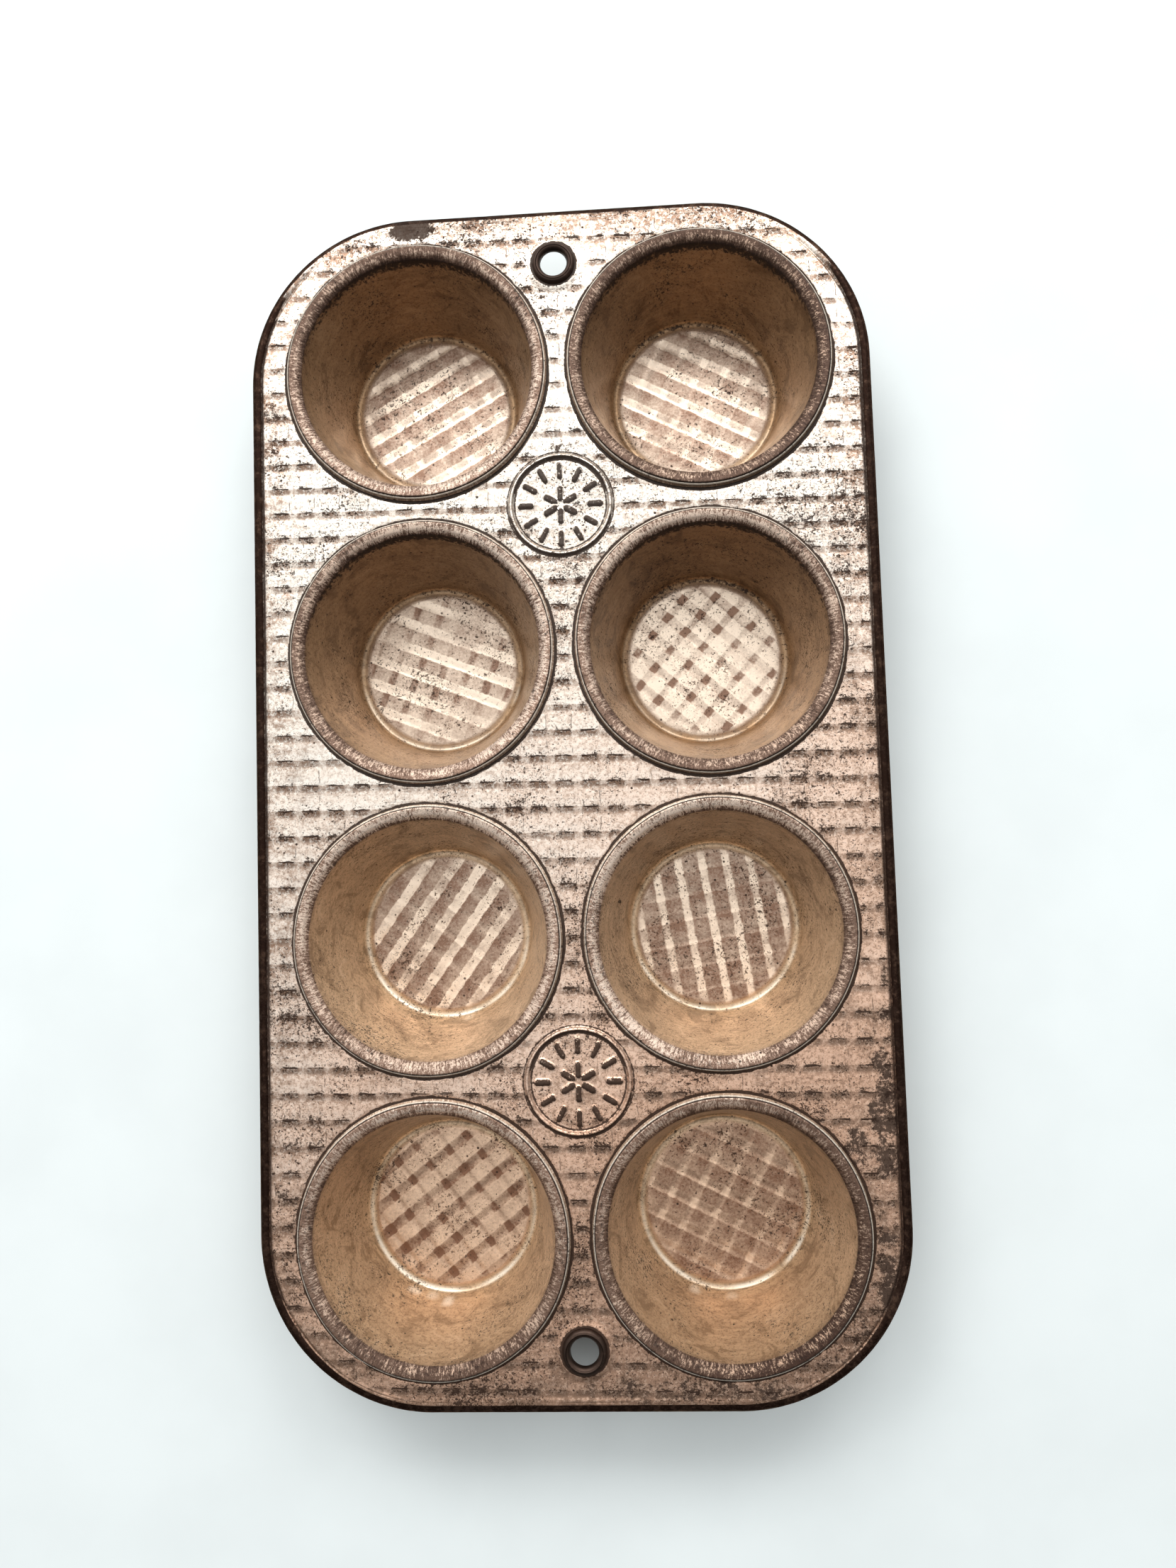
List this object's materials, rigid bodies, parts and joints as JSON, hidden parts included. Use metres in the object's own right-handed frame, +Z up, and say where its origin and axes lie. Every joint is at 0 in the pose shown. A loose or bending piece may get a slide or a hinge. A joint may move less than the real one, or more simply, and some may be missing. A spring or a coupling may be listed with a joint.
{
  "type": "muffin tin",
  "caption": "Rectangular textured tinplate muffin tin: round tapered cups crimped into a flat frame with a rolled edge and a hanging eyelet at each end.",
  "frame": {"origin": "centre of the footprint, on the surface that the cups stand on", "axes": "+Y along the tin's length, +Z up out of the cups' mouths"},
  "size_m": [0.18, 0.34, 0.0349],
  "materials": {
    "frame_tinplate": "worn, brown-stained textured tinplate",
    "cup_tinplate": "worn, golden-brown stained tinplate",
    "eyelet_steel": "dark brown patina",
    "wire_steel": "plain drawn wire"
  },
  "bodies": {
    "root": {"top_plate": "frame_tinplate", "edge_wire": "wire_steel", "cup_1_left": "cup_tinplate", "cup_1_right": "cup_tinplate", "cup_2_left": "cup_tinplate", "cup_2_right": "cup_tinplate", "cup_3_left": "cup_tinplate", "cup_3_right": "cup_tinplate", "cup_4_left": "cup_tinplate", "cup_4_right": "cup_tinplate", "hanging_eyelet_back": "eyelet_steel", "hanging_eyelet_front": "eyelet_steel"}
  },
  "joints": []
}
